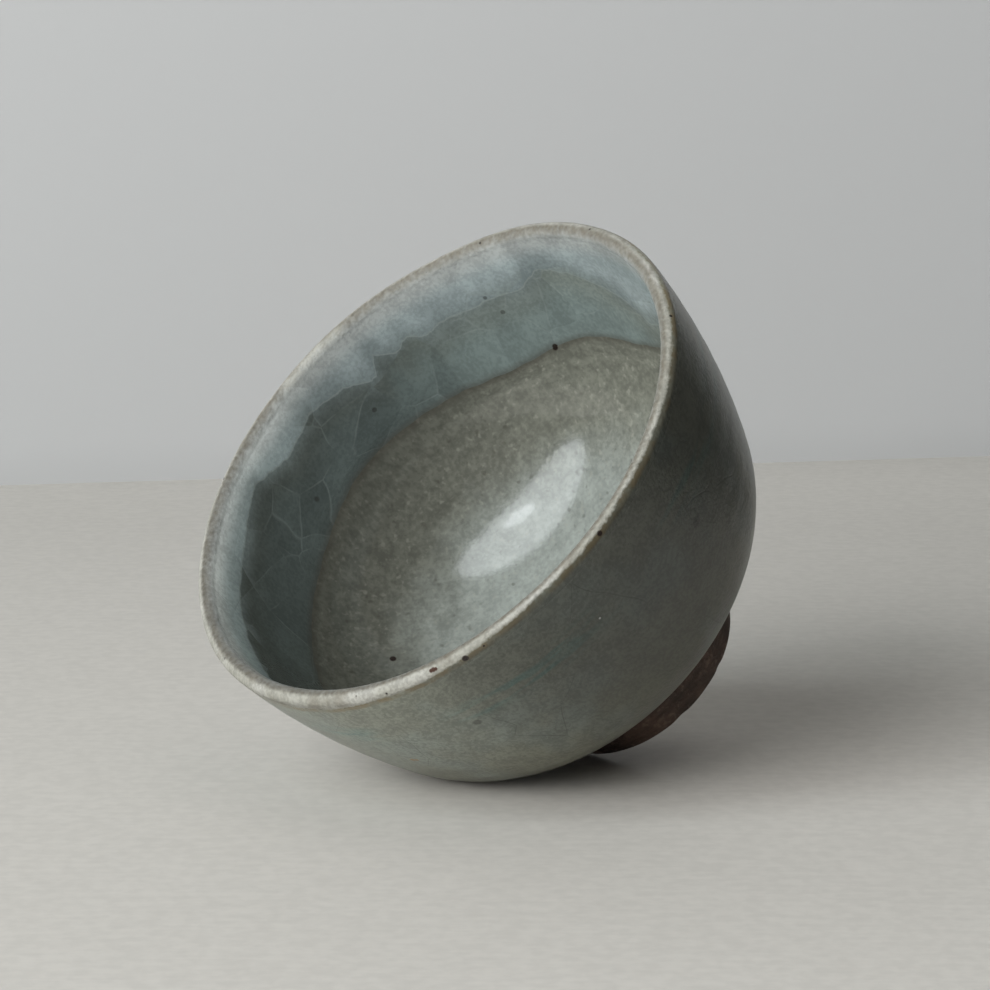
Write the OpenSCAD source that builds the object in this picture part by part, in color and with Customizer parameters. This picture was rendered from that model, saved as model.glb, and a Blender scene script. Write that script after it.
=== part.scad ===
/* [Overall] */
// Outside diameter at the lip
rim_d = 64; // [58:0.5:70]
// Height from the foot's face to the top of the lip
cup_h = 41.5; // [38:0.5:45]

/* [Outside] */
// Radius of the long sweep of the upper wall
wall_sweep_r = 79; // [70:1:95]
// Outward lean of the wall just under the lip, degrees
rim_lean = 3.5; // [1:0.5:6]
// Radius of the belly
belly_r = 16.9; // [14:0.1:19]
// Height of the belly's centre
belly_h = 24.5; // [23:0.1:27]

/* [Foot] */
// Diameter of the foot at its face
foot_d = 25.8; // [21:0.2:30]
// Spread of the foot's outside on each side, from its face up to the bowl
foot_flare = 0.5; // [0:0.1:1.5]
// Height of the foot ring
foot_h = 5; // [4.2:0.1:6]
// Width of the foot ring at its face
foot_wall = 4.3; // [3:0.1:5]
// Rounding of the foot's two lower edges
foot_edge_r = 0.4; // [0.3:0.1:1.2]
// Thickness of the slip between foot and bowl
slip_t = 0.4; // [0.2:0.1:0.8]
// Rise of the trimmed hollow under the floor
dish_h = 0.9; // [0.4:0.1:1.4]

/* [Inside] */
// Thickness of the finished lip
lip_t = 2; // [1.6:0.1:2.8]
// Thickness of the floor in the middle
floor_t = 4.4; // [3:0.1:6]
// Radius of the long sweep of the inner wall
well_sweep_r = 76; // [64:1:90]
// Lean of the inner wall just under the lip, degrees
well_lean = 5.5; // [3:0.5:7]
// Radius of the turn from inner wall to floor
well_r = 16; // [13:0.2:19]
// Radius of the dished floor
floor_sweep_r = 36; // [30:1:60]

/* [Glaze] */
// Thickness of the celadon coat outside, on the lip and round the mouth
glaze_t = 0.45; // [0.3:0.05:0.6]
// Thickness of the thinner coat in the well
well_glaze_t = 0.3; // [0.15:0.05:0.4]
// Height of the pale coat on the lip
lip_band_h = 1.6; // [1.2:0.1:2.4]
// Depth from the lip to the lower line of the mouth glaze
mouth_band_h = 15.2; // [11:0.1:18]
// Bare clay left between the foot and the edge of the outer glaze
bare_margin = 1.2; // [0.6:0.1:2.5]

/* [Hidden] */

turn_faces = 128;
arc_steps = 12;

clay = [0.55, 0.47, 0.40];
bare_foot_clay = [0.24, 0.17, 0.14];
slip_clay = [0.45, 0.36, 0.30];
grey_green = [0.40, 0.42, 0.38];
warm_grey = [0.45, 0.46, 0.42];
celadon_blue = [0.38, 0.44, 0.43];
pale_cream = [0.68, 0.67, 0.62];

// Points and angles in the half section: x is the radius, y the height
function polar(r, a) = [r * cos(a), r * sin(a)];
function arc(centre, r, from, to) =
    [for (i = [0:arc_steps - 1]) centre + polar(r, from + (to - from) * i / arc_steps)];
function backwards(points) = [for (i = [len(points) - 1:-1:0]) points[i]];

// The lip is a half round that both walls leave tangentially
lip_r = lip_t / 2;
lip_centre = [rim_d / 2 - lip_r, cup_h - lip_r];

// The foot ring and the seat that the bowl has on it
recess_r = foot_d / 2 - foot_wall;
foot_top_r = foot_d / 2 + foot_flare;
seat_h = foot_h + slip_t;

// Outside: the wall's sweep, the belly tangent to it, and a straight underside from the foot's seat
wall_centre = lip_centre + polar(lip_r - wall_sweep_r, -rim_lean);
wall_to_belly = wall_sweep_r - belly_r;
belly_drop = wall_centre.y - belly_h;
belly_centre = [wall_centre.x + sqrt(wall_to_belly ^ 2 - belly_drop ^ 2), belly_h];
belly_start = -asin(belly_drop / wall_to_belly);
seat = [foot_top_r, seat_h];
seat_reach = seat - belly_centre;
belly_end = atan2(seat_reach.y, seat_reach.x) + acos((belly_r - glaze_t) / norm(seat_reach));
glaze_end = seat + polar(bare_margin, belly_end + 90);

// Inside: the inner wall's sweep, the dished floor, and a turn tangent to both
inner_wall_centre = lip_centre + polar(lip_r + well_sweep_r, 180 - well_lean);
floor_centre = [0, seat_h + dish_h + floor_t + floor_sweep_r];
turn_to_wall = well_sweep_r - well_r;
turn_to_floor = floor_sweep_r - well_r;
centre_span = floor_centre - inner_wall_centre;
centre_gap = norm(centre_span);
turn_along = (turn_to_wall ^ 2 - turn_to_floor ^ 2 + centre_gap ^ 2) / (2 * centre_gap);
turn_across = sqrt(turn_to_wall ^ 2 - turn_along ^ 2);
along_way = centre_span / centre_gap;
across_way = [along_way.y, -along_way.x];
well_centre = inner_wall_centre + turn_along * along_way + turn_across * across_way;
from_wall = well_centre - inner_wall_centre;
from_floor = well_centre - floor_centre;
well_start = atan2(from_wall.y, from_wall.x);
well_end = atan2(from_floor.y, from_floor.x);

// The hollow trimmed under the floor
dish_r = (recess_r ^ 2 + dish_h ^ 2) / (2 * dish_h);
dish_centre = [0, seat_h + dish_h - dish_r];
dish_angle = acos(recess_r / dish_r);

// A line parallel to the finished outside, the given depth under it, from the lip to the underside
function outside_line(depth) = concat(
    arc(wall_centre, wall_sweep_r - depth, -rim_lean, belly_start),
    arc(belly_centre, belly_r - depth, belly_start, belly_end),
    [belly_centre + polar(belly_r - depth, belly_end)]
);

// The same for the inside, from the lip to the middle of the floor
function inside_line(depth) = concat(
    arc(inner_wall_centre, well_sweep_r + depth, -well_lean, well_start),
    arc(well_centre, well_r + depth, well_start, well_end),
    arc(floor_centre, floor_sweep_r + depth, well_end, -90),
    [floor_centre - [0, floor_sweep_r + depth]]
);

// The lip's half round, from the inside over the top to the outside
function lip_line(depth) = arc(lip_centre, lip_r - depth, 180 - well_lean, -rim_lean);

module turned() {
    rotate_extrude($fn = turn_faces) children();
}

// Everything in the half section between two heights
module between_heights(low, high) {
    intersection() {
        children();
        translate([0, low]) square([rim_d, high - low]);
    }
}

module clay_section() {
    polygon(concat(
        lip_line(glaze_t),
        outside_line(glaze_t),
        [seat],
        [[recess_r, seat_h]],
        [for (i = [1:arc_steps]) dish_centre + polar(dish_r, dish_angle + (90 - dish_angle) * i / arc_steps)],
        backwards(inside_line(glaze_t))
    ));
}

// The outer coat ends in a half-round bead above the foot
module outer_coat_section() {
    bead_r = glaze_t / 2;
    bead_centre = glaze_end + polar(bead_r, belly_end);
    polygon(concat(
        outside_line(0),
        arc(bead_centre, bead_r, belly_end, belly_end - 180),
        [glaze_end],
        backwards(outside_line(glaze_t))
    ));
}

// A coat on the inside, from the clay up to the given depth under the finished wall
module inner_coat_section(depth) {
    polygon(concat(inside_line(depth), backwards(inside_line(glaze_t))));
}

module lip_coat_section() {
    polygon(concat(
        lip_line(0),
        outside_line(0),
        backwards(outside_line(glaze_t)),
        backwards(lip_line(glaze_t)),
        inside_line(glaze_t),
        backwards(inside_line(0))
    ));
}

lip_line_h = cup_h - lip_band_h;
mouth_line_h = cup_h - mouth_band_h;

// Stoneware wall, belly and floor
module thrown_bowl() {
    color(clay) turned() clay_section();
}

// Ring of bare clay that the cup stands on
module foot_ring() {
    outer_edge = [foot_d / 2 - foot_edge_r, foot_edge_r];
    inner_edge = [recess_r + foot_edge_r, foot_edge_r];
    color(bare_foot_clay)
        turned()
            polygon(concat(
                arc(inner_edge, foot_edge_r, 180, 270),
                [[inner_edge.x, 0]],
                arc(outer_edge, foot_edge_r, 270, 360),
                [[foot_d / 2, foot_edge_r]],
                [[foot_top_r, foot_h]],
                [[recess_r, foot_h]]
            ));
}

// Slip that joins the foot ring to the bowl
module luting_slip() {
    color(slip_clay)
        turned()
            translate([recess_r, foot_h])
                square([foot_top_r - recess_r, slip_t]);
}

// Grey-green coat from under the lip to the bare margin above the foot
module outer_glaze() {
    color(grey_green) turned() between_heights(0, lip_line_h) outer_coat_section();
}

// Thin grey coat in the lower half of the inside
module well_glaze() {
    color(warm_grey) turned() between_heights(0, mouth_line_h) inner_coat_section(glaze_t - well_glaze_t);
}

// Thicker blue coat round the inside of the mouth
module mouth_glaze() {
    color(celadon_blue) turned() between_heights(mouth_line_h, lip_line_h) inner_coat_section(0);
}

// Pale coat left on the lip
module lip_glaze() {
    color(pale_cream) turned() between_heights(lip_line_h, cup_h) lip_coat_section();
}

thrown_bowl();
foot_ring();
luting_slip();
outer_glaze();
well_glaze();
mouth_glaze();
lip_glaze();
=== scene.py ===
import math

import bpy
from mathutils import Matrix, Vector, noise


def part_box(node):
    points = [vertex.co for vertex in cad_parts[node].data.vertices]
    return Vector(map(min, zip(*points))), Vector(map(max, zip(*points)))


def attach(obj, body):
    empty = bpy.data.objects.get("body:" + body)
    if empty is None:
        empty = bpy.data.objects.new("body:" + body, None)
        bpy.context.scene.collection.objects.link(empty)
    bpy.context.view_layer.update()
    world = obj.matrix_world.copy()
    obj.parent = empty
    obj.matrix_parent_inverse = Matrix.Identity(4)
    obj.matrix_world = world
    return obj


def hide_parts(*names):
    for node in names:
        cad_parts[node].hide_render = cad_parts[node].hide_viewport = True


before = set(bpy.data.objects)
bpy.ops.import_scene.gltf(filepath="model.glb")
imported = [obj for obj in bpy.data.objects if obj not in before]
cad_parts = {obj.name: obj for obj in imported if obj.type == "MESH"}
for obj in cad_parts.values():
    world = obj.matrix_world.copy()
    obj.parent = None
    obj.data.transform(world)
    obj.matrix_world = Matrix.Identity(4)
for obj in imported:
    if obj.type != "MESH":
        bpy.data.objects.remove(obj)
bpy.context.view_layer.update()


# The thrown bowl: wall, belly and floor of one lump of iron-bearing stoneware, drawn up on the wheel
# and trimmed underneath when leather hard. It carries all the other pieces, and shows bare only in a
# narrow ring above the foot and in the shallow hollow under the floor.
cup_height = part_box("lip_glaze")[1].z
rim_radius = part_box("lip_glaze")[1].x
lip_radius = 0.001
wall_sweep = 0.079
rim_lean = 3.5
belly_radius = 0.0169
belly_height = 0.0245
seat_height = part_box("luting_slip")[1].z
seat_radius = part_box("luting_slip")[1].x
recess_radius = 0.0086
dish_rise = 0.0009
floor_thickness = 0.0044
well_sweep = 0.076
well_lean = 5.5
well_turn_radius = 0.016
floor_sweep = 0.036
glaze_depth = 0.00045
turn_steps = 384
bare_clay = (112, 91, 80)
burnt_clay = (80, 68, 62)
pale_grit = (146, 128, 114)
clay_grain = 0.0006
clay_patch = 0.005


def on_circle(centre, radius, degrees):
    turn = math.radians(degrees)
    return centre + Vector((radius * math.cos(turn), 0, radius * math.sin(turn)))


def direction(start, end):
    return math.degrees(math.atan2(end.z - start.z, end.x - start.x))


def level_angle(centre, radius, height):
    return math.degrees(math.asin((height - centre.z) / radius))


# The half section: a round lip, two long sweeps, the belly and the turn of the well, all tangent
lip_centre = Vector((rim_radius - lip_radius, 0, cup_height - lip_radius))
wall_centre = on_circle(lip_centre, lip_radius - wall_sweep, -rim_lean)
wall_to_belly = wall_sweep - belly_radius
belly_drop = wall_centre.z - belly_height
belly_centre = Vector((wall_centre.x + math.sqrt(wall_to_belly**2 - belly_drop**2), 0, belly_height))
belly_start = direction(wall_centre, belly_centre)
seat = Vector((seat_radius, 0, seat_height))
seat_span = (seat - belly_centre).length
seat_swing = math.degrees(math.acos((belly_radius - glaze_depth) / seat_span))
belly_end = direction(belly_centre, seat) + seat_swing
inner_wall_centre = on_circle(lip_centre, lip_radius + well_sweep, 180 - well_lean)
floor_height = seat_height + dish_rise + floor_thickness
floor_centre = Vector((0, 0, floor_height + floor_sweep))
turn_to_wall = well_sweep - well_turn_radius
turn_to_floor = floor_sweep - well_turn_radius
centre_span = floor_centre - inner_wall_centre
turn_along = (turn_to_wall**2 - turn_to_floor**2 + centre_span.length**2) / (2 * centre_span.length)
turn_across = math.sqrt(turn_to_wall**2 - turn_along**2)
along_way = centre_span.normalized()
across_way = Vector((along_way.z, 0, -along_way.x))
well_centre = inner_wall_centre + along_way * turn_along + across_way * turn_across
well_start = direction(inner_wall_centre, well_centre)
well_end = direction(floor_centre, well_centre)
dish_radius = (recess_radius**2 + dish_rise**2) / (2 * dish_rise)
dish_centre = Vector((0, 0, seat_height + dish_rise - dish_radius))
dish_start = direction(dish_centre, Vector((recess_radius, 0, seat_height)))


def start_section(name, point):
    bpy.ops.object.select_all(action="DESELECT")
    bpy.ops.mesh.primitive_plane_add(size=lip_radius)
    piece = bpy.context.object
    piece.name = name
    piece.data.name = name
    bpy.ops.object.mode_set(mode="EDIT")
    bpy.ops.mesh.select_all(action="SELECT")
    bpy.ops.mesh.merge(type="CENTER")
    bpy.ops.transform.translate(value=point)
    return piece


def line_to(end, steps=1):
    bpy.context.object.update_from_editmode()
    pen = next(v.co.copy() for v in bpy.context.object.data.vertices if v.select)
    for _ in range(steps):
        bpy.ops.mesh.extrude_vertices_move(TRANSFORM_OT_translate={"value": (end - pen) / steps})


def arc_round(centre, start, end, steps):
    bpy.ops.mesh.spin(steps=steps, angle=math.radians(end - start), center=centre, axis=(0, 1, 0))


def turn_on_wheel(piece, steps=turn_steps):
    bpy.ops.object.mode_set(mode="OBJECT")
    wheel = piece.modifiers.new("wheel", "SCREW")
    wheel.axis = "Z"
    wheel.angle = math.tau
    wheel.steps = steps
    wheel.render_steps = steps
    wheel.use_merge_vertices = True
    wheel.merge_threshold = 1e-6
    bpy.ops.object.modifier_apply(modifier=wheel.name)
    bpy.ops.object.mode_set(mode="EDIT")
    bpy.ops.mesh.select_all(action="SELECT")
    bpy.ops.mesh.remove_doubles(threshold=1e-6)
    bpy.ops.mesh.normals_make_consistent(inside=False)
    bpy.ops.object.mode_set(mode="OBJECT")
    bpy.ops.object.shade_smooth_by_angle(angle=math.radians(40))


# What the potter's hands left: the rim a little low here and there, shallow dents and throwing rings.
# A dip is given by its direction and width in degrees and its depth.
rim_dips = ((-9, 17, 0.00045), (92, 20, 0.0001), (-125, 30, 0.0003), (-175, 70, 0.0008))
dent_depth = 0.00010
dent_size = 0.011
ring_depth = 0.00002
ring_pitch = 0.0032


def degrees_round(point):
    return math.degrees(math.atan2(point.y, point.x))


def bump_at(degrees, centre, width):
    apart = (degrees - centre + 180) % 360 - 180
    return math.exp(-((apart / width) ** 2))


def thrown(point):
    out = Vector((point.x, point.y, 0))
    reach = min(1, out.length / recess_radius)
    out.normalize()
    rise = max(0, point.z / cup_height)
    turn = degrees_round(point)
    dip = sum(depth * bump_at(turn, centre, width) for centre, width, depth in rim_dips) * rise**3
    dent = dent_depth * (0.5 + 0.5 * noise.noise(point / dent_size)) * rise
    spiral = point.z / ring_pitch - turn / 360
    ring = ring_depth * (0.5 + 0.5 * math.cos(spiral * math.tau)) * min(1, rise * 4)
    return point - out * (dent + ring) * reach - Vector((0, 0, dip))


def throw(piece, own_mark=None):
    lathe = piece.data.attributes.new("lathe", "FLOAT_VECTOR", "POINT")
    for vertex in piece.data.vertices:
        lathe.data[vertex.index].vector = vertex.co
        vertex.co = thrown(own_mark(vertex.co) if own_mark else vertex.co)


bowl = start_section("bowl_body", floor_centre - Vector((0, 0, floor_sweep + glaze_depth)))
arc_round(floor_centre, -90, well_end, 16)
arc_round(well_centre, well_end, well_start, 24)
arc_round(inner_wall_centre, well_start, -well_lean, 40)
arc_round(lip_centre, 180 - well_lean, -rim_lean, 12)
arc_round(wall_centre, -rim_lean, belly_start, 40)
arc_round(belly_centre, belly_start, belly_end, 24)
line_to(seat, 16)
line_to(Vector((recess_radius, 0, seat_height)), 6)
arc_round(dish_centre, dish_start, 90, 14)
turn_on_wheel(bowl)
throw(bowl)


def paint(red, green, blue):
    def linear(level):
        share = level / 255
        return share / 12.92 if share <= 0.04045 else ((share + 0.055) / 1.055) ** 2.4

    return (linear(red), linear(green), linear(blue), 1)


def add(tree, kind, inputs=None, **settings):
    made = tree.nodes.new("ShaderNode" + kind)
    for name, value in settings.items():
        setattr(made, name, value)
    for name, value in (inputs or {}).items():
        if isinstance(value, bpy.types.NodeSocket):
            tree.links.new(value, made.inputs[name])
        else:
            made.inputs[name].default_value = value
    return made


def calc(tree, operation, *values):
    return add(tree, "Math", dict(enumerate(values)), operation=operation).outputs[0]


def fade(tree, value, start, end, low=0, high=1):
    ends = {"Value": value, "From Min": start, "From Max": end, "To Min": low, "To Max": high}
    return add(tree, "MapRange", ends, interpolation_type="SMOOTHSTEP").outputs[0]


def mix(tree, mask, under, over):
    return add(tree, "Mix", {0: mask, 6: under, 7: over}, data_type="RGBA").outputs[2]


def tint(tree, colour, tone):
    return add(tree, "Mix", {0: 1, 6: colour, 7: tone}, data_type="RGBA", blend_type="MULTIPLY").outputs[2]


def cloud(tree, place, size, detail=2):
    return add(tree, "TexNoise", {"Vector": place, "Scale": 1 / size, "Detail": detail}).outputs["Fac"]


def stretch(tree, place, along, up):
    scaling = {0: place, 1: (along, along, up)}
    return add(tree, "VectorMath", scaling, operation="MULTIPLY").outputs["Vector"]


def new_finish(name):
    finish = bpy.data.materials.new(name)
    finish.use_nodes = True
    tree = finish.node_tree
    place = add(tree, "Attribute", attribute_name="lathe").outputs["Vector"]
    return finish, tree, tree.nodes["Principled BSDF"], place


def new_effect(name, inputs, outputs):
    tree = bpy.data.node_groups.new(name, "ShaderNodeTree")
    for socket, kind in inputs.items():
        tree.interface.new_socket(socket, in_out="INPUT", socket_type="NodeSocket" + kind)
    for socket, kind in outputs.items():
        tree.interface.new_socket(socket, in_out="OUTPUT", socket_type="NodeSocket" + kind)
    return tree, tree.nodes.new("NodeGroupInput").outputs, tree.nodes.new("NodeGroupOutput").inputs


def put(tree, effect, **inputs):
    return add(tree, "Group", inputs, node_tree=effect).outputs


def roughen(tree, shader, relief, strength, depth):
    bump = add(tree, "Bump", {"Height": relief, "Strength": strength, "Distance": depth})
    tree.links.new(bump.outputs[0], shader.inputs["Normal"])


# Grain: mottling at two scales, from the grit in the clay and the pores of the glaze
place_and_size = {"Place": "Vector", "Size": "Float"}
grain, given, result = new_effect("Grain", place_and_size, {"Tone": "Float", "Pores": "Float"})
per_size = calc(grain, "DIVIDE", 1, given["Size"])
fine = add(grain, "TexNoise", {"Vector": given["Place"], "Scale": per_size, "Detail": 3}).outputs["Fac"]
wide_scale = calc(grain, "MULTIPLY", per_size, 0.23)
wide = add(grain, "TexNoise", {"Vector": given["Place"], "Scale": wide_scale, "Detail": 2}).outputs["Fac"]
both = calc(grain, "MULTIPLY_ADD", wide, 0.35, calc(grain, "MULTIPLY", fine, 0.65))
grain.links.new(fade(grain, both, 0.34, 0.66), result["Tone"])
pore_scale = calc(grain, "MULTIPLY", per_size, 0.8)
pores = add(grain, "TexVoronoi", {"Vector": given["Place"], "Scale": pore_scale}).outputs["Distance"]
grain.links.new(fade(grain, pores, 0.0, 0.45), result["Pores"])


def finish_clay(name):
    finish, tree, shader, place = new_finish(name)
    grit = put(tree, grain, Place=place, Size=clay_grain)
    patch = fade(tree, cloud(tree, place, clay_patch, 3), 0.36, 0.66)
    lines = cloud(tree, stretch(tree, place, 0.1, 1), clay_grain)
    body = mix(tree, patch, paint(*burnt_clay), paint(*bare_clay))
    flecks = fade(tree, grit["Tone"], 0.7, 1.0, 0, 0.35)
    colour = mix(tree, flecks, body, paint(*pale_grit))
    colour = tint(tree, colour, fade(tree, lines, 0.3, 0.7, 0.82, 1.12))
    tree.links.new(colour, shader.inputs["Base Color"])
    shader.inputs["Roughness"].default_value = 0.85
    relief = calc(tree, "ADD", calc(tree, "ADD", grit["Tone"], grit["Pores"]), lines)
    roughen(tree, shader, relief, 0.6, 0.00022)
    return finish


bowl.data.materials.append(finish_clay("bare stoneware"))
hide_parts("thrown_bowl")
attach(bowl, "root")


# The luting slip: wet clay of the same body, brushed on to stick the turned foot to the bowl.
# It shows as a thin ring pressed out flush between the two.
recess_edge = Vector((recess_radius, 0, seat_height))
foot_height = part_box("luting_slip")[0].z
slip = start_section("slip_joint", recess_edge)
line_to(seat, 8)
line_to(Vector((seat_radius, 0, foot_height)), 3)
line_to(Vector((recess_radius, 0, foot_height)), 8)
line_to(recess_edge, 3)
turn_on_wheel(slip)
throw(slip)
slip.data.materials.append(finish_clay("slip"))
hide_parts("luting_slip")
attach(slip, "root")


# The foot ring: a separate coil of the same dark clay, turned true on the wheel, left without glaze
# and fired to a matt chocolate brown. Its face is what the cup stands on.
foot_flare = 0.0005
foot_radius = seat_radius - foot_flare
foot_edge = 0.0004
edge_nicks = ((-160, 4, 0.00022), (-128, 3, 0.00016), (-60, 5, 0.0002), (35, 4, 0.00018), (110, 3, 0.0002))
edge_wear = 0.00012
wear_size = 0.0028
worn_height = 0.0022
worn_width = 0.0016
outer_edge = Vector((foot_radius - foot_edge, 0, foot_edge))
inner_edge = Vector((recess_radius + foot_edge, 0, foot_edge))
foot = start_section("foot_coil", Vector((recess_radius, 0, foot_height)))
line_to(Vector((recess_radius, 0, foot_edge)), 12)
arc_round(inner_edge, 180, 270, 6)
line_to(Vector((outer_edge.x, 0, 0)), 10)
arc_round(outer_edge, 270, 360, 6)
line_to(Vector((seat_radius, 0, foot_height)), 16)
line_to(Vector((recess_radius, 0, foot_height)), 8)
turn_on_wheel(foot)


def trimmed(point):
    out = Vector((point.x, point.y, 0))
    near_face = max(0, 1 - point.z / worn_height)
    near_side = max(0, 1 - abs(out.length - foot_radius) / worn_width)
    turn = degrees_round(point)
    nick = sum(depth * bump_at(turn, centre, width) for centre, width, depth in edge_nicks)
    wear = edge_wear * (0.5 + 0.5 * noise.noise(out / wear_size))
    return point - out.normalized() * (nick + wear) * near_face * near_side


throw(foot, trimmed)
foot.data.materials.append(finish_clay("foot clay"))
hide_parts("foot_ring")
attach(foot, "root")


# The outer glaze: a grey-green celadon, dipped, that stops in a soft bead a little above the foot.
# Under the lip runs a brown fringe where it thins, and below that a streaky turquoise band. One side
# is painted darker as painted shade, and the rest a little lighter as painted light.
lip_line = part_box("lip_glaze")[0].z
bare_margin = 0.0012
bead_radius = glaze_depth / 2
glaze_end = on_circle(seat, bare_margin, belly_end + 90)
bead_centre = on_circle(glaze_end, bead_radius, belly_end)
back_sweep = wall_sweep - glaze_depth
lip_line_out = level_angle(wall_centre, wall_sweep, lip_line)
lip_line_back = level_angle(wall_centre, back_sweep, lip_line)
grey_green = (118, 121, 110)
olive = (110, 111, 96)
rim_blue = (121, 130, 124)
turquoise = (92, 123, 117)
deep_teal = (68, 90, 85)
pale_fleck = (150, 152, 142)
craze_dark = (76, 79, 71)
iron_dark = (34, 27, 23)
painted_shade_side = -140
painted_shade_dark = 0.45
ochre = (132, 104, 62)
fringe_brown = (112, 102, 80)
fringe_depth = 0.00145
fringe_reach = 0.0006
wide_side = 110
band_reach = 0.0028
glaze_grain = 0.00045
streak_size = 0.0012
craze_size = 0.009
craze_width = 0.0001
outer_speck_gap = 0.006

outer = start_section("celadon_outside", on_circle(wall_centre, wall_sweep, lip_line_out))
arc_round(wall_centre, lip_line_out, belly_start, 60)
arc_round(belly_centre, belly_start, belly_end, 30)
line_to(on_circle(bead_centre, bead_radius, belly_end), 24)
arc_round(bead_centre, belly_end, belly_end - 180, 6)
line_to(on_circle(belly_centre, belly_radius - glaze_depth, belly_end), 12)
arc_round(belly_centre, belly_end, belly_start, 12)
arc_round(wall_centre, belly_start, lip_line_back, 20)
line_to(on_circle(wall_centre, wall_sweep, lip_line_out), 2)
turn_on_wheel(outer)
throw(outer)


def around(point, degrees):
    turn = math.radians(degrees)
    return Vector((point.x * math.cos(turn), point.x * math.sin(turn), point.z))


def on_outside(degrees, depth):
    height = cup_height - depth
    return around(on_circle(wall_centre, wall_sweep, level_angle(wall_centre, wall_sweep, height)), degrees)


def spots(tree, place, marks):
    mask = 0
    for centre, radius in marks:
        apart = add(tree, "VectorMath", {0: place, 1: centre}, operation="DISTANCE").outputs["Value"]
        mask = calc(tree, "MAXIMUM", mask, fade(tree, apart, radius * 1.25, radius * 0.75))
    return mask


def towards(tree, place, degrees):
    turn = math.radians(degrees)
    way = (math.cos(turn), math.sin(turn), 0)
    return add(tree, "VectorMath", {0: place, 1: way}, operation="DOT_PRODUCT").outputs["Value"]


# Crackle: the net of hairline cracks in a glaze that shrank more than its clay, and the plates between
crackle_in = {"Place": "Vector", "Size": "Float", "Width": "Float"}
crackle, given, result = new_effect("Crackle", crackle_in, {"Lines": "Float", "Plates": "Float"})
per_size = calc(crackle, "DIVIDE", 1, given["Size"])
sway = add(crackle, "TexNoise", {"Vector": given["Place"], "Scale": per_size, "Detail": 1}).outputs["Color"]
sway = add(crackle, "VectorMath", {0: sway, 1: (0.5, 0.5, 0.5)}, operation="SUBTRACT").outputs["Vector"]
sway_reach = calc(crackle, "MULTIPLY", given["Size"], 0.35)
sway = add(crackle, "VectorMath", {0: sway, "Scale": sway_reach}, operation="SCALE").outputs["Vector"]
swayed = add(crackle, "VectorMath", {0: given["Place"], 1: sway}, operation="ADD").outputs["Vector"]
net = add(crackle, "TexVoronoi", {"Vector": swayed, "Scale": per_size}, feature="DISTANCE_TO_EDGE")
line_width = calc(crackle, "MULTIPLY", given["Width"], per_size)
sharp = calc(crackle, "SUBTRACT", 1, calc(crackle, "DIVIDE", net.outputs["Distance"], line_width))
shown = add(crackle, "TexNoise", {"Vector": given["Place"], "Scale": per_size, "Detail": 2}).outputs["Fac"]
lines = calc(crackle, "MULTIPLY", calc(crackle, "MAXIMUM", sharp, 0), fade(crackle, shown, 0.42, 0.62))
crackle.links.new(lines, result["Lines"])
cell = add(crackle, "TexVoronoi", {"Vector": swayed, "Scale": per_size}).outputs["Color"]
crackle.links.new(add(crackle, "SeparateColor", {0: cell}).outputs[0], result["Plates"])

# Iron specks: grains of ore in the clay that burnt through the glaze, few and of uneven size
specks, given, result = new_effect("Iron specks", place_and_size, {"Mask": "Float"})
per_size = calc(specks, "DIVIDE", 1, given["Size"])
grit = add(specks, "TexVoronoi", {"Vector": given["Place"], "Scale": per_size})
chance = add(specks, "SeparateColor", {0: grit.outputs["Color"]}).outputs
reach = calc(specks, "MULTIPLY_ADD", chance[1], 0.09, 0.03)
near = fade(specks, calc(specks, "DIVIDE", grit.outputs["Distance"], reach), 1.2, 0.7)
few = calc(specks, "GREATER_THAN", chance[0], 0.82)
specks.links.new(calc(specks, "MULTIPLY", near, few), result["Mask"])

# Outside colour: shared by the outer coat and the outer edge of the lip
outside_results = {"Colour": "Color", "Relief": "Float", "Rim": "Float"}
outside_look, given, result = new_effect("Outside colour", {"Place": "Vector"}, outside_results)
place = given["Place"]
xyz = add(outside_look, "SeparateXYZ", {0: place}).outputs
depth = calc(outside_look, "SUBTRACT", cup_height, xyz["Z"])
mottle = put(outside_look, grain, Place=place, Size=glaze_grain)
body = mix(outside_look, fade(outside_look, depth, 0.026, 0.012), paint(*olive), paint(*grey_green))
blue_share = fade(outside_look, cloud(outside_look, place, 0.009, 3), 0.42, 0.68, 0, 0.6)
body = mix(outside_look, blue_share, body, paint(*rim_blue))
streaks = cloud(outside_look, stretch(outside_look, place, 0.13, 1), streak_size, 3)
wander = calc(outside_look, "MULTIPLY_ADD", cloud(outside_look, place, 0.02, 1), 0.006, 0.0054)
off_band = calc(outside_look, "ABSOLUTE", calc(outside_look, "SUBTRACT", depth, wander))
band = fade(outside_look, off_band, band_reach, 0.0004)
band_share = fade(outside_look, cloud(outside_look, place, 0.024, 1), 0.36, 0.56)
band = calc(outside_look, "MULTIPLY", band, band_share)
band = calc(outside_look, "MULTIPLY", band, fade(outside_look, streaks, 0.4, 0.6))
body = mix(outside_look, calc(outside_look, "MULTIPLY", band, 0.75), body, paint(*turquoise))
teal = calc(outside_look, "MULTIPLY", band, fade(outside_look, streaks, 0.58, 0.66, 0, 0.7))
body = mix(outside_look, teal, body, paint(*deep_teal))
body = tint(outside_look, body, fade(outside_look, mottle["Tone"], 0, 1, 0.82, 1.17))
blotch = fade(outside_look, cloud(outside_look, place, 0.004, 3), 0.35, 0.65, 0.94, 1.06)
body = tint(outside_look, body, blotch)
flecks = fade(outside_look, mottle["Pores"], 0.12, 0.0, 0, 0.4)
body = mix(outside_look, flecks, body, paint(*pale_fleck))
craze = put(outside_look, crackle, Place=place, Size=craze_size, Width=craze_width)
body = mix(outside_look, calc(outside_look, "MULTIPLY", craze["Lines"], 0.45), body, paint(*craze_dark))
body = tint(outside_look, body, fade(outside_look, craze["Plates"], 0, 1, 0.97, 1.03))
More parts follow.
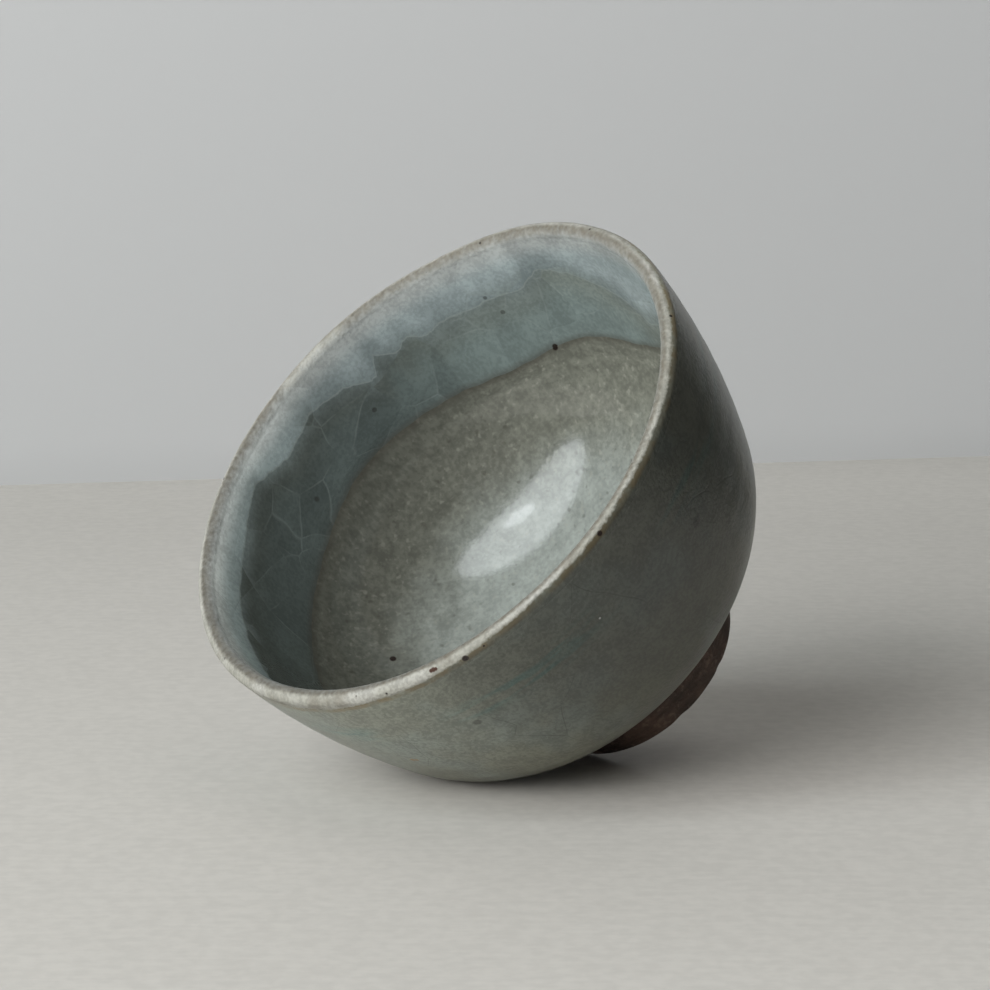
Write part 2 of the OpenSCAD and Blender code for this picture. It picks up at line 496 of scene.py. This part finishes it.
ochre_marks = (
    (on_outside(149, 0.0152), 0.0003),
    (on_outside(150, 0.0153), 0.00025),
    (on_outside(40, 0.012), 0.0003),
)
body = mix(outside_look, spots(outside_look, place, ochre_marks), body, paint(*ochre))
white_mark = spots(outside_look, place, ((on_outside(-155.2, 0.0086), 0.00012),))
body = mix(outside_look, white_mark, body, (1, 1, 1, 1))
rare = put(outside_look, specks, Place=place, Size=outer_speck_gap)["Mask"]
body = mix(outside_look, calc(outside_look, "MULTIPLY", rare, 0.5), body, paint(*iron_dark))
run_off = fade(outside_look, towards(outside_look, place, wide_side), 0, 0.03, 0.0004, -0.0009)
wavy_rim = calc(outside_look, "MULTIPLY_ADD", cloud(outside_look, place, 0.003, 2), 0.0005, run_off)
ragged_rim = calc(outside_look, "MULTIPLY_ADD", cloud(outside_look, place, 0.0005, 3), 0.0004, wavy_rim)
rim_depth = calc(outside_look, "ADD", depth, ragged_rim)
outside_look.links.new(rim_depth, result["Rim"])
off_fringe = calc(outside_look, "ABSOLUTE", calc(outside_look, "SUBTRACT", rim_depth, fringe_depth))
fringe = fade(outside_look, off_fringe, fringe_reach, 0.00015)
fringe_share = fade(outside_look, cloud(outside_look, place, 0.002, 2), 0.36, 0.62, 0.3, 0.9)
body = mix(outside_look, calc(outside_look, "MULTIPLY", fringe, fringe_share), body, paint(*fringe_brown))
# Painted shade: one side of the coat is painted darker, and the rest a little lighter as painted light.
painted_side_tone = fade(outside_look, towards(outside_look, place, painted_shade_side), 0.016, 0.03, 1.12, painted_shade_dark)
body = tint(outside_look, body, painted_side_tone)
outside_look.links.new(body, result["Colour"])
relief = calc(outside_look, "ADD", mottle["Tone"], cloud(outside_look, place, 0.0024, 1))
outside_look.links.new(calc(outside_look, "SUBTRACT", relief, craze["Lines"]), result["Relief"])

finish, tree, shader, place = new_finish("grey-green celadon")
look = put(tree, outside_look, Place=place)
tree.links.new(look["Colour"], shader.inputs["Base Color"])
shader.inputs["Roughness"].default_value = 0.3
roughen(tree, shader, look["Relief"], 0.22, 0.0001)
outer.data.materials.append(finish)
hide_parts("outer_glaze")
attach(outer, "root")


# The well glaze: the same celadon wiped thin over the lower half of the inside, so the grey clay shows
# through as a fine grain, with the faint rings of throwing. It pools bluer and clearer on the floor.
well_glaze_depth = 0.0003
mouth_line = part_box("mouth_glaze")[0].z
well_face = glaze_depth - well_glaze_depth
mouth_line_in = level_angle(inner_wall_centre, well_sweep + well_face, mouth_line)
mouth_line_back = level_angle(inner_wall_centre, well_sweep + glaze_depth, mouth_line)
glaze_runs = (
    (-8, 15, 0.0013), (-48, 12, 0.0013), (38, 20, -0.0014),
    (100, 22, 0.0004), (160, 25, 0.0012), (-110, 24, -0.001),
)
run_fade = 0.0042
run_ripple = 0.00016
ripple_degrees = 4
well_ring_pitch = 0.0019
painted_light_side_well = -85
warm_grey = (89, 90, 82)
pool_blue = (123, 128, 123)
pale_grain = (132, 132, 122)
dark_pit = (62, 60, 53)
joint_brown = (68, 65, 58)
well_grain = 0.0005
well_speck_gap = 0.0035
pool_and_sheen_top = 0.0218
pool_full = 0.0145

well = start_section("celadon_well", floor_centre - Vector((0, 0, floor_sweep + well_face)))
arc_round(floor_centre, -90, well_end, 30)
arc_round(well_centre, well_end, well_start, 30)
arc_round(inner_wall_centre, well_start, mouth_line_in, 16)
line_to(on_circle(inner_wall_centre, well_sweep + glaze_depth, mouth_line_back), 1)
arc_round(inner_wall_centre, mouth_line_back, well_start, 16)
arc_round(well_centre, well_start, well_end, 12)
arc_round(floor_centre, well_end, -90, 12)
turn_on_wheel(well)


def run_down(point):
    turn = degrees_round(point)
    run = sum(depth * bump_at(turn, centre, width) for centre, width, depth in glaze_runs)
    run += run_ripple * noise.noise(Vector((turn / ripple_degrees, 0, 0)))
    share = max(0, 1 - abs(point.z - mouth_line) / run_fade)
    share = share * share * (3 - 2 * share)
    out = Vector((point.x, point.y, 0))
    flat = Vector((out.length, 0, point.z))
    from_centre = flat - inner_wall_centre
    swing = direction(inner_wall_centre, flat) - math.degrees(run * share / well_sweep)
    moved = on_circle(inner_wall_centre, from_centre.length, swing)
    return out.normalized() * moved.x + Vector((0, 0, moved.z))


def run_in_well(point):
    return run_down(point) if point.z > mouth_line - run_fade else point


throw(well, run_in_well)


def on_inside(degrees, depth):
    height = cup_height - depth
    turn_top = on_circle(inner_wall_centre, well_sweep, well_start).z
    if height > turn_top:
        centre, radius = inner_wall_centre, well_sweep
    else:
        centre, radius = well_centre, well_turn_radius
    return around(on_circle(centre, radius, level_angle(centre, radius, height)), degrees)


finish, tree, shader, place = new_finish("celadon in the well")
height = add(tree, "SeparateXYZ", {0: place}).outputs["Z"]
mottle = put(tree, grain, Place=place, Size=well_grain)
uneven = cloud(tree, place, 0.006, 3)
level = calc(tree, "MULTIPLY_ADD", uneven, 0.005, height)
# The pale pool is pooled glaze, and it reaches up far enough to also paint the sheen round the highlight.
pool = fade(tree, level, pool_and_sheen_top, pool_full)
body = mix(tree, pool, paint(*warm_grey), paint(*pool_blue))
blotch = fade(tree, cloud(tree, place, 0.0014, 3), 0.35, 0.65, 0.91, 1.09)
grainy = calc(tree, "MULTIPLY", fade(tree, mottle["Tone"], 0, 1, 0.86, 1.13), blotch)
smooth = calc(tree, "MULTIPLY", pool, 0.3)
body = tint(tree, body, add(tree, "Mix", {0: smooth, 2: grainy, 3: 1}).outputs[0])
rings = calc(tree, "SINE", calc(tree, "MULTIPLY", height, math.tau / well_ring_pitch))
body = tint(tree, body, fade(tree, rings, -1, 1, 0.965, 1.035))
fleck = fade(tree, cloud(tree, place, 0.0007, 1), 0.6, 0.78, 0, 0.3)
body = mix(tree, fleck, body, paint(*pale_grain))
pits = fade(tree, cloud(tree, place, 0.0011, 1), 0.34, 0.2, 0, 0.45)
body = mix(tree, pits, body, paint(*dark_pit))
# Painted light and shade: outside the pool, the well is painted lighter on one side and darker on the
# other.
painted_light_on_well = fade(tree, towards(tree, place, painted_light_side_well), -0.018, 0.026, 0.82, 1.39)
body = tint(tree, body, add(tree, "Mix", {0: pool, 2: painted_light_on_well, 3: 1}).outputs[0])
dark_edge = fade(tree, height, mouth_line - 0.0012, mouth_line, 0, 0.5)
body = mix(tree, dark_edge, body, paint(*joint_brown))
well_marks = (
    (on_inside(-20.5, 0.0152), 0.0004),
    (on_inside(87.5, 0.0235), 0.00042),
    (on_inside(150, 0.019), 0.0003),
)
rare = put(tree, specks, Place=place, Size=well_speck_gap)["Mask"]
iron = calc(tree, "MAXIMUM", spots(tree, place, well_marks), calc(tree, "MULTIPLY", rare, 0.7))
body = mix(tree, iron, body, paint(*iron_dark))
tree.links.new(body, shader.inputs["Base Color"])
shader.inputs["Roughness"].default_value = 0.1
relief = calc(tree, "ADD", mottle["Tone"], cloud(tree, place, 0.0013, 1))
roughen(tree, shader, relief, 0.045, 0.00006)
well.data.materials.append(finish)
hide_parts("well_glaze")
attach(well, "root")


# The mouth glaze: a second, thicker dip of blue celadon round the inside of the mouth, crazed like ice.
# It is milky under the lip, and clear and dark below a jagged crack. Its lower edge feathers out over
# the well.
lip_line_in = level_angle(inner_wall_centre, well_sweep, lip_line)
lip_line_in_back = level_angle(inner_wall_centre, well_sweep + glaze_depth, lip_line)
feather = 0.0018
feather_angle = mouth_line_in + math.degrees(feather / well_sweep)
painted_light_side = 95
painted_light_side_clear = -50
white_blue = (168, 172, 170)
milky_blue = (153, 164, 165)
edge_blue = (103, 114, 114)
smoky = (82, 88, 84)
clear_blue = (83, 92, 90)
crack_light = (146, 154, 151)
crack_edge = (
    (-180, 0.0055), (-150, 0.0066), (-125, 0.0052), (-95, 0.0076), (-72, 0.0108), (-57, 0.0123),
    (-52, 0.01), (-44, 0.0081), (-36, 0.0063), (-29, 0.0054), (-22, 0.0073), (-10, 0.0072),
    (1, 0.0068), (4, 0.0074), (9, 0.0059), (12, 0.007), (17, 0.0052), (20, 0.0078),
    (26, 0.0058), (37, 0.0044), (41, 0.0051), (48, 0.0054), (58, 0.0033), (72, 0.0047),
    (89, 0.0051), (107, 0.0056), (130, 0.0042), (156, 0.0063), (180, 0.0055),
)
crack_span = 0.020
crack_width = 0.00016
ice_size = 0.006
ice_width = 0.00013
mouth_speck_gap = 0.0045

full_depth = on_circle(inner_wall_centre, well_sweep, feather_angle)
mouth = start_section("celadon_mouth", full_depth)
arc_round(inner_wall_centre, feather_angle, lip_line_in, 56)
line_to(on_circle(inner_wall_centre, well_sweep + glaze_depth, lip_line_in_back), 2)
arc_round(inner_wall_centre, lip_line_in_back, mouth_line_back, 32)
line_to(on_circle(inner_wall_centre, well_sweep + well_face, mouth_line_in), 2)
line_to(full_depth, 6)
turn_on_wheel(mouth)
throw(mouth, run_down)

# Mouth colour: shared by the mouth coat and the inner edge of the lip
mouth_results = {"Colour": "Color", "Relief": "Float"}
mouth_look, given, result = new_effect("Mouth colour", {"Place": "Vector"}, mouth_results)
place = given["Place"]
xyz = add(mouth_look, "SeparateXYZ", {0: place}).outputs
depth = calc(mouth_look, "SUBTRACT", cup_height, xyz["Z"])
share = calc(mouth_look, "MULTIPLY_ADD", calc(mouth_look, "ARCTAN2", xyz["Y"], xyz["X"]), 1 / math.tau, 0.5)
edge = add(mouth_look, "FloatCurve", {"Value": share})
points = edge.mapping.curves[0].points
while len(points) < len(crack_edge):
    points.new(0.5, 0.5)
for point, (degrees, deep) in zip(points, crack_edge):
    point.location = (degrees / 360 + 0.5, deep / crack_span)
    point.handle_type = "VECTOR"
edge.mapping.update()
ragged = calc(mouth_look, "MULTIPLY_ADD", cloud(mouth_look, place, 0.0016, 3), 0.0009, -0.00045)
edge_depth = calc(mouth_look, "MULTIPLY_ADD", edge.outputs[0], crack_span, ragged)
over = calc(mouth_look, "SUBTRACT", depth, edge_depth)
mottle = put(mouth_look, grain, Place=place, Size=glaze_grain)
ice = put(mouth_look, crackle, Place=place, Size=ice_size, Width=ice_width)
pale = mix(mouth_look, fade(mouth_look, depth, 0.0012, 0.0042), paint(*white_blue), paint(*milky_blue))
pale = mix(mouth_look, fade(mouth_look, over, -0.0042, 0, 0, 0.68), pale, paint(*edge_blue))
# Painted light: below the lip, the pale band is painted up to twice as light on one side.
painted_light_on_pale = fade(mouth_look, towards(mouth_look, place, painted_light_side), 0.012, 0.027, 0, 1.05)
painted_light_on_pale = calc(mouth_look, "MULTIPLY", painted_light_on_pale, fade(mouth_look, depth, 0.00025, 0.0013))
pale = tint(mouth_look, pale, calc(mouth_look, "ADD", painted_light_on_pale, 1))
clear = mix(mouth_look, fade(mouth_look, over, 0.0003, 0.0055), paint(*smoky), paint(*clear_blue))
# Painted light and shade: the clear glaze is painted lighter on one side and a little darker on the other.
painted_light_on_clear = fade(mouth_look, towards(mouth_look, place, painted_light_side_clear), 0.004, 0.028, 0.86, 1.85)
clear = tint(mouth_look, clear, painted_light_on_clear)
plate_shift = calc(mouth_look, "MULTIPLY_ADD", ice["Plates"], 0.003, -0.0015)
plate_over = calc(mouth_look, "ADD", over, plate_shift)
crisp = fade(mouth_look, over, 0.00025, -0.0002, 0, 0.45)
soft = fade(mouth_look, plate_over, 0.0022, -0.0022, 0, 0.55)
body = mix(mouth_look, calc(mouth_look, "ADD", crisp, soft), clear, pale)
body = tint(mouth_look, body, fade(mouth_look, mottle["Tone"], 0, 1, 0.9, 1.1))
body = tint(mouth_look, body, fade(mouth_look, cloud(mouth_look, place, 0.005, 2), 0.35, 0.65, 0.93, 1.07))
body = tint(mouth_look, body, fade(mouth_look, ice["Plates"], 0, 1, 0.92, 1.08))
crack = fade(mouth_look, calc(mouth_look, "ABSOLUTE", over), crack_width, 0.00003, 0, 0.32)
crack = calc(mouth_look, "MAXIMUM", crack, calc(mouth_look, "MULTIPLY", ice["Lines"], 0.18))
body = mix(mouth_look, crack, body, paint(*crack_light))
brown_edge = fade(mouth_look, xyz["Z"], mouth_line + 0.001, mouth_line, 0, 0.5)
body = mix(mouth_look, brown_edge, body, paint(*joint_brown))
faint_marks = (
    (on_inside(-14, 0.0093), 0.0003),
    (on_inside(25.5, 0.0102), 0.0003),
    (on_inside(-12.5, 0.0067), 0.00025),
)
joint_mark = spots(mouth_look, place, ((on_inside(-20.7, 0.0151), 0.0004),))
iron = calc(mouth_look, "MULTIPLY_ADD", spots(mouth_look, place, faint_marks), 0.5, joint_mark)
rare = put(mouth_look, specks, Place=place, Size=mouth_speck_gap)["Mask"]
iron = calc(mouth_look, "MAXIMUM", iron, calc(mouth_look, "MULTIPLY", rare, 0.5))
body = mix(mouth_look, iron, body, paint(*iron_dark))
mouth_look.links.new(body, result["Colour"])
mouth_look.links.new(calc(mouth_look, "SUBTRACT", mottle["Tone"], ice["Lines"]), result["Relief"])

finish, tree, shader, place = new_finish("crackled blue celadon")
look = put(tree, mouth_look, Place=place)
tree.links.new(look["Colour"], shader.inputs["Base Color"])
shader.inputs["Roughness"].default_value = 0.22
roughen(tree, shader, look["Relief"], 0.15, 0.00008)
mouth.data.materials.append(finish)
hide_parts("mouth_glaze")
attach(mouth, "root")


# The lip glaze: where the glaze thinned and ran off the rim it fired rough, khaki on the inner edge and
# cream from the crest outwards, with stains and a few burnt specks of iron. It runs into the coats on
# either side.
shade_side = 100
khaki = (97, 92, 80)
cream = (139, 138, 129)
cream_white = (153, 152, 145)
cream_dark = (96, 89, 76)
rust = (62, 41, 32)
lip_grit = 0.00004
lip_grit_size = 0.0006
grit_fade = 0.0006
lip_grain = 0.00038
lip_speck_gap = 0.0016
milky_patch_radius = 0.005

lip = start_section("cream_lip", on_circle(inner_wall_centre, well_sweep, lip_line_in))
arc_round(inner_wall_centre, lip_line_in, -well_lean, 4)
arc_round(lip_centre, 180 - well_lean, -rim_lean, 24)
arc_round(wall_centre, -rim_lean, lip_line_out, 4)
line_to(on_circle(wall_centre, back_sweep, lip_line_back), 2)
arc_round(wall_centre, lip_line_back, -rim_lean, 2)
arc_round(lip_centre, -rim_lean, 180 - well_lean, 12)
arc_round(inner_wall_centre, -well_lean, lip_line_in_back, 2)
line_to(on_circle(inner_wall_centre, well_sweep, lip_line_in), 2)
turn_on_wheel(lip, 768)


def gritty(point):
    ring = around(Vector((lip_centre.x, 0, lip_centre.z)), degrees_round(point))
    rough = lip_grit * (0.5 + 0.5 * noise.noise(point / lip_grit_size))
    above_line = max(0, min(1, (point.z - lip_line) / grit_fade))
    near_face = min(1, max(0, (point - ring).length / lip_radius - 0.6) * 2.5)
    return point + (ring - point).normalized() * rough * above_line * near_face


throw(lip, gritty)


def on_lip(degrees, angle):
    return around(on_circle(lip_centre, lip_radius, angle), degrees)


finish, tree, shader, place = new_finish("cream rim")
xyz = add(tree, "SeparateXYZ", {0: place}).outputs
depth = calc(tree, "SUBTRACT", cup_height, xyz["Z"])
out = add(tree, "VectorMath", {0: stretch(tree, place, 1, 0)}, operation="LENGTH").outputs["Value"]
across = calc(tree, "SUBTRACT", out, lip_centre.x)
outside = fade(tree, across, -0.0002, 0.0003)
mottle = put(tree, grain, Place=place, Size=lip_grain)
coarse = cloud(tree, place, lip_grit_size, 3)
patchy = cloud(tree, place, 0.007, 2)
inner_look = put(tree, mouth_look, Place=place)
outer_look = put(tree, outside_look, Place=place)
glaze = mix(tree, outside, inner_look["Colour"], outer_look["Colour"])
inner_depth = calc(tree, "MULTIPLY_ADD", coarse, 0.0008, depth)
inner_cream = fade(tree, inner_depth, 0.0017, 0.0001)
outer_cream = fade(tree, outer_look["Rim"], 0.00125, 0.00095)
inner_bare = calc(tree, "MULTIPLY", calc(tree, "SUBTRACT", 1, outside), inner_cream)
bare = calc(tree, "MULTIPLY_ADD", outside, outer_cream, inner_bare)
body = mix(tree, fade(tree, patchy, 0.4, 0.62), paint(*cream), paint(*cream_white))
crest = fade(tree, calc(tree, "MULTIPLY_ADD", coarse, 0.0004, across), 0, 0.0006)
milky_patch = spots(tree, place, ((on_lip(27, 75), milky_patch_radius),))
crest = calc(tree, "MAXIMUM", crest, calc(tree, "MULTIPLY", milky_patch, 0.85))
# The khaki is the thin glaze, and towards one side it is also painted darker as painted shade.
thin_and_shaded = tint(tree, paint(*khaki), fade(tree, towards(tree, place, shade_side), -0.01, 0.03, 1, 0.7))
body = mix(tree, crest, thin_and_shaded, body)
body = tint(tree, body, fade(tree, mottle["Tone"], 0, 1, 0.84, 1.13))
body = mix(tree, fade(tree, mottle["Pores"], 0.3, 0.0, 0, 0.28), body, paint(*cream_dark))
stain = calc(tree, "MULTIPLY", fade(tree, cloud(tree, place, 0.0032, 3), 0.52, 0.68), 0.4)
body = mix(tree, stain, body, paint(*cream_dark))
colour = mix(tree, bare, glaze, body)
lip_marks = (
    (on_lip(-178.3, 12), 0.00036), (on_lip(-144.1, 30), 0.0003),
    (on_lip(-174, 15), 0.00012), (on_lip(163.9, 20), 0.00013),
    (on_lip(130.4, 0), 0.0001), (on_lip(-19.8, 110), 0.00014),
    (on_lip(-51.9, 80), 0.00016), (on_lip(-92.6, 40), 0.00018),
    (on_lip(60, 70), 0.00016), (on_lip(8, 25), 0.00014),
)
rare = put(tree, specks, Place=place, Size=lip_speck_gap)["Mask"]
iron = calc(tree, "MAXIMUM", spots(tree, place, lip_marks), calc(tree, "MULTIPLY", rare, 0.6))
colour = mix(tree, iron, colour, paint(*iron_dark))
rust_marks = ((on_lip(174.6, 50), 0.00022), (on_lip(175.1, 50), 0.00026), (on_lip(175.6, 47), 0.0002))
colour = mix(tree, spots(tree, place, rust_marks), colour, paint(*rust))
tree.links.new(colour, shader.inputs["Base Color"])
tree.links.new(fade(tree, bare, 0, 1, 0.26, 0.55), shader.inputs["Roughness"])
roughening = calc(tree, "SUBTRACT", calc(tree, "ADD", mottle["Tone"], mottle["Pores"]), 1.4)
relief = calc(tree, "MULTIPLY_ADD", roughening, bare, mottle["Tone"])
roughen(tree, shader, relief, 0.2, 0.0001)
lip.data.materials.append(finish)
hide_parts("lip_glaze")
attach(lip, "root")


# The table: a pale sheet that turns up into a backdrop. The cup lies on it tipped over, resting on its
# belly and on the edge of its foot, so in the cup's own frame the sheet leans.
lie_heading = math.radians(-45)
mouth_turn = math.radians(39.66)
edge_reach = (outer_edge - belly_centre).length
touch_swing = math.degrees(math.acos((belly_radius - foot_edge) / edge_reach))
touch_angle = direction(belly_centre, outer_edge) + touch_swing
tip = math.radians(90 + touch_angle)
lean_way = Vector((math.cos(lie_heading), math.sin(lie_heading), 0))
table_up = lean_way * math.sin(tip) + Vector((0, 0, math.cos(tip)))
touch = on_circle(belly_centre, belly_radius, touch_angle)
touch_place = around(touch, math.degrees(lie_heading) + 180)
mouth_way = (Vector((0, 0, 1)) - table_up * table_up.z).normalized()
side_way = table_up.cross(mouth_way)
table_right = -math.cos(mouth_turn) * mouth_way + math.sin(mouth_turn) * side_way
table_away = table_up.cross(table_right)
table = Matrix((table_right, table_away, table_up)).transposed().to_4x4()
table.translation = touch_place

backdrop_distance = 0.217
backdrop_turn = math.radians(11)
sheet_left = 0.5
sheet_right = 0.24
sheet_front = 0.11
backdrop_height = 0.3
table_pale = (197, 194, 188)
backdrop_pale = (181, 182, 182)
painted_fall_off = 0.82
painted_backdrop_rise = 1.6
corner_blend = 0.00005
corner_reach = 0.008
brush_size = 0.0011
fleck_size = 0.0016

bpy.ops.object.select_all(action="DESELECT")
bpy.ops.mesh.primitive_plane_add(size=1)
sheet = bpy.context.object
sheet.name = "table_and_backdrop"
bpy.ops.object.mode_set(mode="EDIT")
bpy.ops.mesh.select_all(action="SELECT")
bpy.ops.transform.resize(value=(sheet_left + sheet_right, backdrop_distance + sheet_front, 1))
middle = ((sheet_right - sheet_left) / 2, (backdrop_distance - sheet_front) / 2, 0)
bpy.ops.transform.translate(value=middle)
bpy.ops.mesh.select_all(action="DESELECT")
bpy.ops.object.mode_set(mode="OBJECT")
for edge in sheet.data.edges:
    edge.select = all(sheet.data.vertices[i].co.y > 0 for i in edge.vertices)
bpy.ops.object.mode_set(mode="EDIT")
bpy.ops.mesh.select_mode(type="EDGE")
bpy.ops.mesh.extrude_region_move(TRANSFORM_OT_translate={"value": (0, 0, backdrop_height)})
bpy.ops.mesh.select_all(action="SELECT")
bpy.ops.object.mode_set(mode="OBJECT")
sheet.data.transform(table @ Matrix.Rotation(backdrop_turn, 4, "Z"))

finish = bpy.data.materials.new("pale sheet")
finish.use_nodes = True
tree = finish.node_tree
shader = tree.nodes["Principled BSDF"]
place = add(tree, "TexCoord").outputs["Object"]
lift = add(tree, "VectorMath", {0: place, 1: table_up}, operation="DOT_PRODUCT").outputs["Value"]
lift = calc(tree, "SUBTRACT", lift, table_up.dot(touch_place))
across = add(tree, "VectorMath", {0: place, 1: table_right}, operation="DOT_PRODUCT").outputs["Value"]
away = add(tree, "VectorMath", {0: place, 1: table_away}, operation="DOT_PRODUCT").outputs["Value"]
away = calc(tree, "SUBTRACT", away, table_away.dot(touch_place))
brushed = add(tree, "CombineXYZ", {0: calc(tree, "MULTIPLY", across, 0.12), 1: away}).outputs[0]
brush_marks = fade(tree, cloud(tree, brushed, brush_size, 4), 0.3, 0.7, 0.982, 1.018)
flecks = fade(tree, cloud(tree, place, fleck_size, 3), 0.3, 0.7, 0.965, 1.035)
brush_marks = calc(tree, "MULTIPLY", brush_marks, flecks)
table_colour = tint(tree, paint(*table_pale), brush_marks)
# Painted light: the table is painted darker towards the back and a little lighter near the corner.
painted_corner_light = fade(tree, away, 0.16, 0.215, 1, 1.07)
table_colour = tint(tree, table_colour, calc(tree, "MULTIPLY_ADD", away, -painted_fall_off, painted_corner_light))
# Painted light and shade: the backdrop is painted darker at its foot and lighter towards the top.
painted_wall_foot_shade = fade(tree, lift, 0, corner_reach, 0.9, 0.95)
wall_colour = tint(tree, paint(*backdrop_pale), calc(tree, "MULTIPLY_ADD", lift, painted_backdrop_rise, painted_wall_foot_shade))
sheet_colour = mix(tree, fade(tree, lift, 0, corner_blend), table_colour, wall_colour)
tree.links.new(sheet_colour, shader.inputs["Base Color"])
shader.inputs["Roughness"].default_value = 0.7
through = add(tree, "BsdfTransparent")
behind = add(tree, "NewGeometry").outputs["Backfacing"]
one_sided = add(tree, "MixShader", {0: behind, 1: shader.outputs[0], 2: through.outputs[0]})
tree.links.new(one_sided.outputs[0], tree.nodes["Material Output"].inputs["Surface"])
sheet.data.materials.append(finish)


# The light: a tall soft window on the left with a small bright glint in it, a dim pale screen low on the
# same side, a soft warm ceiling and a dim room.
def hang_lamp(name, heading, rise, width, height, power, roll=0, colour=(1, 1, 1)):
    turn, lift = math.radians(heading), math.radians(rise)
    way = Vector((math.sin(turn) * math.cos(lift), math.cos(turn) * math.cos(lift), math.sin(lift)))
    lamp_data = bpy.data.lights.new(name, "AREA")
    lamp_data.shape = "ELLIPSE"
    lamp_data.size = width
    lamp_data.size_y = height
    lamp_data.energy = power
    lamp_data.color = colour
    lamp = bpy.data.objects.new(name, lamp_data)
    bpy.context.scene.collection.objects.link(lamp)
    facing = way.to_track_quat("Z", "Y").to_matrix().to_4x4() @ Matrix.Rotation(math.radians(roll), 4, "Z")
    lamp.matrix_world = table @ Matrix.Translation(way * lamp_distance) @ facing
    lamp.visible_camera = False
    return lamp


lamp_distance = 1.6
day = (0.92, 0.98, 1)
warm = (1, 0.955, 0.87)
hang_lamp("window", -120, 36, width=0.56, height=1.7, power=12.5, roll=-22, colour=day)
hang_lamp("glint", -126, 37, width=0.12, height=0.34, power=0.75, roll=-38, colour=day)
screen = hang_lamp("screen", -142, 22, width=1.1, height=1.0, power=32)
ceiling = hang_lamp("ceiling", 70, 72, width=1.8, height=1.8, power=3.3, colour=warm)
screen.visible_glossy = False
ceiling.visible_glossy = False
room_level = 0.05
room_pale = 0.5

room = bpy.data.worlds.new("room")
room.use_nodes = True
seen = add(room.node_tree, "LightPath").outputs["Is Camera Ray"]
room_light = calc(room.node_tree, "MULTIPLY_ADD", seen, room_pale - room_level, room_level)
background = room.node_tree.nodes["Background"]
background.inputs["Color"].default_value = (1, 1, 1, 1)
room.node_tree.links.new(room_light, background.inputs["Strength"])
bpy.context.scene.world = room


# The camera: it stands in front of the table, a little above the cup, and looks down on it through a
# long lens. Its place is measured from where the cup touches the table.
camera_place = Vector((0.003714, -0.389048, 0.094121))
camera_dip = math.radians(9.144)
focal_length = 130.9

camera_data = bpy.data.cameras.new("camera")
camera_data.lens = focal_length
camera = bpy.data.objects.new("camera", camera_data)
bpy.context.scene.collection.objects.link(camera)
camera_turn = Matrix.Rotation(math.pi / 2 - camera_dip, 4, "X")
camera.matrix_world = table @ Matrix.Translation(camera_place) @ camera_turn
bpy.context.scene.camera = camera
bpy.context.scene.view_settings.view_transform = "Standard"
